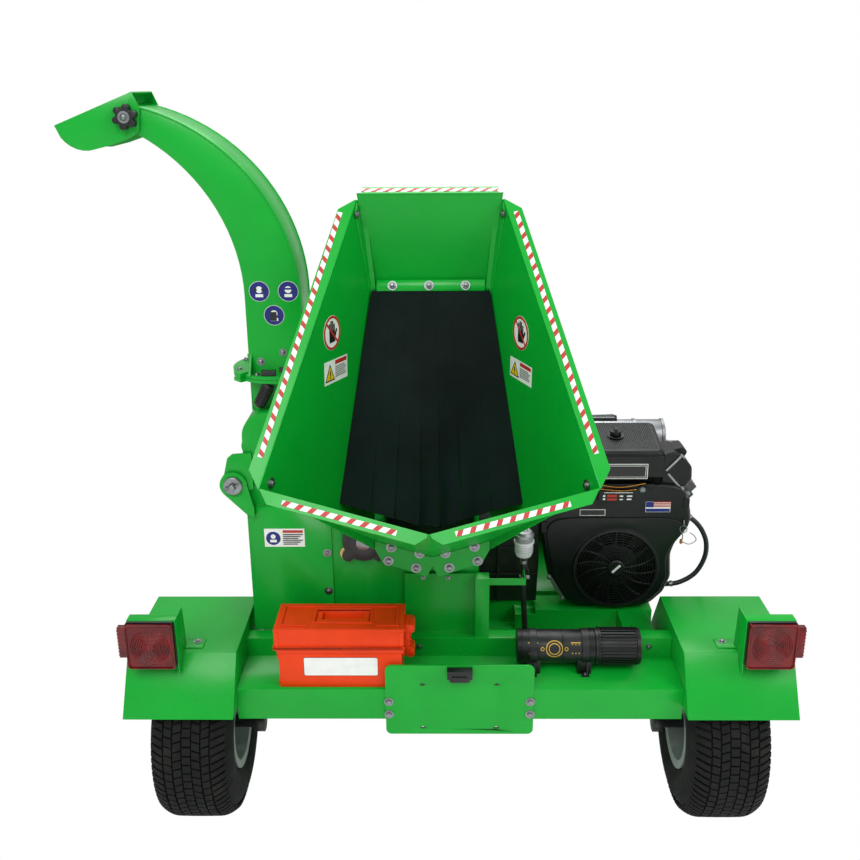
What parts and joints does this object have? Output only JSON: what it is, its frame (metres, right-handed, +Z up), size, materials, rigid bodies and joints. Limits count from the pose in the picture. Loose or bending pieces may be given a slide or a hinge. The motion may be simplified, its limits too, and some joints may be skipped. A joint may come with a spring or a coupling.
{
  "type": "towable wood chipper",
  "caption": "Trailer-mounted disc wood chipper with a flared feed hopper, hinged rotor housing, swivelling discharge chute and belt-driven twin-cylinder engine.",
  "frame": {"origin": "on the ground at the middle of the overall length and width: 50 mm left of the trailer's centre plane and 684 mm ahead of the wheel axis", "axes": "+X to the right as seen from the feed end, +Y towards the tow ball, +Z up"},
  "size_m": [1.7, 2.4266, 1.797],
  "materials": {
    "green_paint": "gloss",
    "black_steel": "satin",
    "rim_paint": "satin",
    "tyre_rubber": "matte",
    "zinc_steel": "satin",
    "bare_steel": "satin",
    "cast_iron": "matte",
    "cast_aluminium": "matte",
    "black_plastic": "matte",
    "red_lens": "gloss",
    "curtain_rubber": "matte",
    "filter_plastic": "gloss",
    "orange_plastic": "satin"
  },
  "bodies": {
    "frame": {"chassis": "green_paint", "drawbar": "green_paint", "coupler": "zinc_steel", "axle_tube": "black_steel", "fenders": "green_paint", "plate_bracket": "green_paint", "plate_lamp": "black_plastic", "lamp_housings": "black_plastic", "lamp_lenses": "red_lens", "lower_housing": "green_paint", "hinge_pin": "zinc_steel", "access_panel": "green_paint", "bed_knife": "bare_steel", "bearings": "cast_iron", "hopper_left_side": "green_paint", "hopper_right_side": "green_paint", "hopper_floor": "green_paint", "hopper_back": "green_paint", "curtain_clamp": "green_paint", "engine_block": "cast_iron", "cylinders": "cast_aluminium", "blower_shroud": "black_steel", "fan_guard": "black_steel", "air_cleaner": "black_plastic", "muffler": "zinc_steel", "drive_belt": "curtain_rubber", "belt_guard": "black_steel", "fuel_tank": "black_plastic", "battery_box": "black_plastic", "fuel_filter": "filter_plastic", "toolbox_body": "orange_plastic", "canister_body": "black_plastic", "fasteners": "zinc_steel"},
    "left_arm": {"left_suspension_arm": "black_steel"},
    "right_arm": {"right_suspension_arm": "black_steel"},
    "left_wheel": {"left_rim": "rim_paint", "left_tyre": "tyre_rubber"},
    "right_wheel": {"right_rim": "rim_paint", "right_tyre": "tyre_rubber"},
    "coupler_latch": {"coupler_latch": "zinc_steel"},
    "prop_leg": {"prop_leg": "zinc_steel"},
    "prop_handle": {"prop_handle": "zinc_steel"},
    "upper_housing": {"upper_housing": "green_paint"},
    "chute": {"discharge_chute": "green_paint"},
    "swivel_lock": {"swivel_lock": "black_plastic"},
    "deflector": {"deflector": "green_paint"},
    "deflector_knob": {"deflector_knob": "black_plastic"},
    "rotor": {"rotor_shaft": "zinc_steel", "rotor_disc": "bare_steel", "rotor_knives": "bare_steel"},
    "crank": {"crankshaft": "zinc_steel", "cooling_fan": "black_plastic"},
    "curtain": {"curtain": "curtain_rubber"},
    "toolbox_lid": {"toolbox_lid": "orange_plastic"},
    "toolbox_handle": {"toolbox_handle": "orange_plastic"},
    "toolbox_latch": {"toolbox_latch": "orange_plastic"},
    "canister_cap": {"canister_cap": "black_plastic"},
    "fuel_cap": {"fuel_cap": "black_plastic"},
    "air_cleaner_knob": {"air_cleaner_knob": "black_plastic"},
    "throttle_lever": {"throttle_lever": "black_plastic"}
  },
  "joints": [
    {"name": "left_suspension", "type": "hinge", "parent": "frame", "child": "left_arm", "pos_m": [-0.4675, -0.61369, 0.29], "axis": [1, 0, 0], "range_deg": [-12, 12]},
    {"name": "right_suspension", "type": "hinge", "parent": "frame", "child": "right_arm", "pos_m": [0.5675, -0.61369, 0.29], "axis": [1, 0, 0], "range_deg": [-12, 12]},
    {"name": "left_wheel_spin", "type": "hinge", "parent": "left_arm", "child": "left_wheel", "pos_m": [-0.605, -0.6837, 0.235], "axis": [1, 0, 0], "continuous": true},
    {"name": "right_wheel_spin", "type": "hinge", "parent": "right_arm", "child": "right_wheel", "pos_m": [0.705, -0.6837, 0.235], "axis": [1, 0, 0], "continuous": true},
    {"name": "coupler_latch_lift", "type": "hinge", "parent": "frame", "child": "coupler_latch", "pos_m": [0.05, 1.11631, 0.45], "axis": [-1, 0, 0], "range_deg": [0, 70]},
    {"name": "prop_leg_swing", "type": "hinge", "parent": "frame", "child": "prop_leg", "pos_m": [0.2, 0.79631, 0.325], "axis": [-1, 0, 0], "range_deg": [0, 90]},
    {"name": "prop_handle_turn", "type": "hinge", "parent": "frame", "child": "prop_handle", "pos_m": [0.2, 0.79631, 0.325], "axis": [1, 0, 0], "range_deg": [-90, 90]},
    {"name": "rotor_spin", "type": "hinge", "parent": "frame", "child": "rotor", "pos_m": [-0.186, -0.37369, 0.738], "axis": [0, 1, 0], "continuous": true},
    {"name": "crank_spin", "type": "hinge", "parent": "frame", "child": "crank", "pos_m": [0.48, -0.37369, 0.564], "axis": [0, 1, 0], "continuous": true},
    {"name": "upper_housing_open", "type": "hinge", "parent": "frame", "child": "upper_housing", "pos_m": [-0.497, -0.5237, 0.892], "axis": [0, -1, 0], "range_deg": [0, 60]},
    {"name": "chute_swivel", "type": "hinge", "parent": "upper_housing", "child": "chute", "pos_m": [-0.387, -0.5187, 1.147], "axis": [0, 0, 1], "continuous": true},
    {"name": "swivel_lock_turn", "type": "hinge", "parent": "upper_housing", "child": "swivel_lock", "pos_m": [-0.408, -0.62369, 1.124], "axis": [0, 0, 1], "range_deg": [-10, 80]},
    {"name": "deflector_tilt", "type": "hinge", "parent": "chute", "child": "deflector", "pos_m": [-0.687, -0.5187, 1.744], "axis": [0, -1, 0], "range_deg": [-20, 40]},
    {"name": "deflector_knob_turn", "type": "hinge", "parent": "chute", "child": "deflector_knob", "pos_m": [-0.687, -0.61069, 1.744], "axis": [0, 1, 0], "continuous": true},
    {"name": "curtain_lift", "type": "hinge", "parent": "frame", "child": "curtain", "pos_m": [-0.015, -0.68072, 1.36318], "axis": [-1, 0, 0], "range_deg": [0, 35]},
    {"name": "toolbox_lid_open", "type": "hinge", "parent": "frame", "child": "toolbox_lid", "pos_m": [-0.39, -0.7767, 0.546], "axis": [0, -1, 0], "range_deg": [0, 100]},
    {"name": "toolbox_handle_lift", "type": "hinge", "parent": "toolbox_lid", "child": "toolbox_handle", "pos_m": [-0.23, -0.7527, 0.5875], "axis": [-1, 0, 0], "range_deg": [0, 90]},
    {"name": "toolbox_latch_open", "type": "hinge", "parent": "frame", "child": "toolbox_latch", "pos_m": [-0.068, -0.7767, 0.508], "axis": [0, 1, 0], "range_deg": [0, 80]},
    {"name": "canister_cap_turn", "type": "hinge", "parent": "frame", "child": "canister_cap", "pos_m": [0.439, -0.73969, 0.492], "axis": [1, 0, 0], "continuous": true},
    {"name": "fuel_cap_turn", "type": "hinge", "parent": "frame", "child": "fuel_cap", "pos_m": [0.35, 0.12631, 0.641], "axis": [0, 0, 1], "continuous": true},
    {"name": "air_cleaner_knob_turn", "type": "hinge", "parent": "frame", "child": "air_cleaner_knob", "pos_m": [0.476, -0.36369, 0.915], "axis": [0, 0, 1], "continuous": true},
    {"name": "throttle_turn", "type": "hinge", "parent": "frame", "child": "throttle_lever", "pos_m": [0.38, -0.4597, 0.77], "axis": [0, 1, 0], "range_deg": [-20, 20]}
  ],
  "couplings": [
    {"joint": "crank_spin", "follows": "rotor_spin", "ratio": 1.5833}
  ]
}
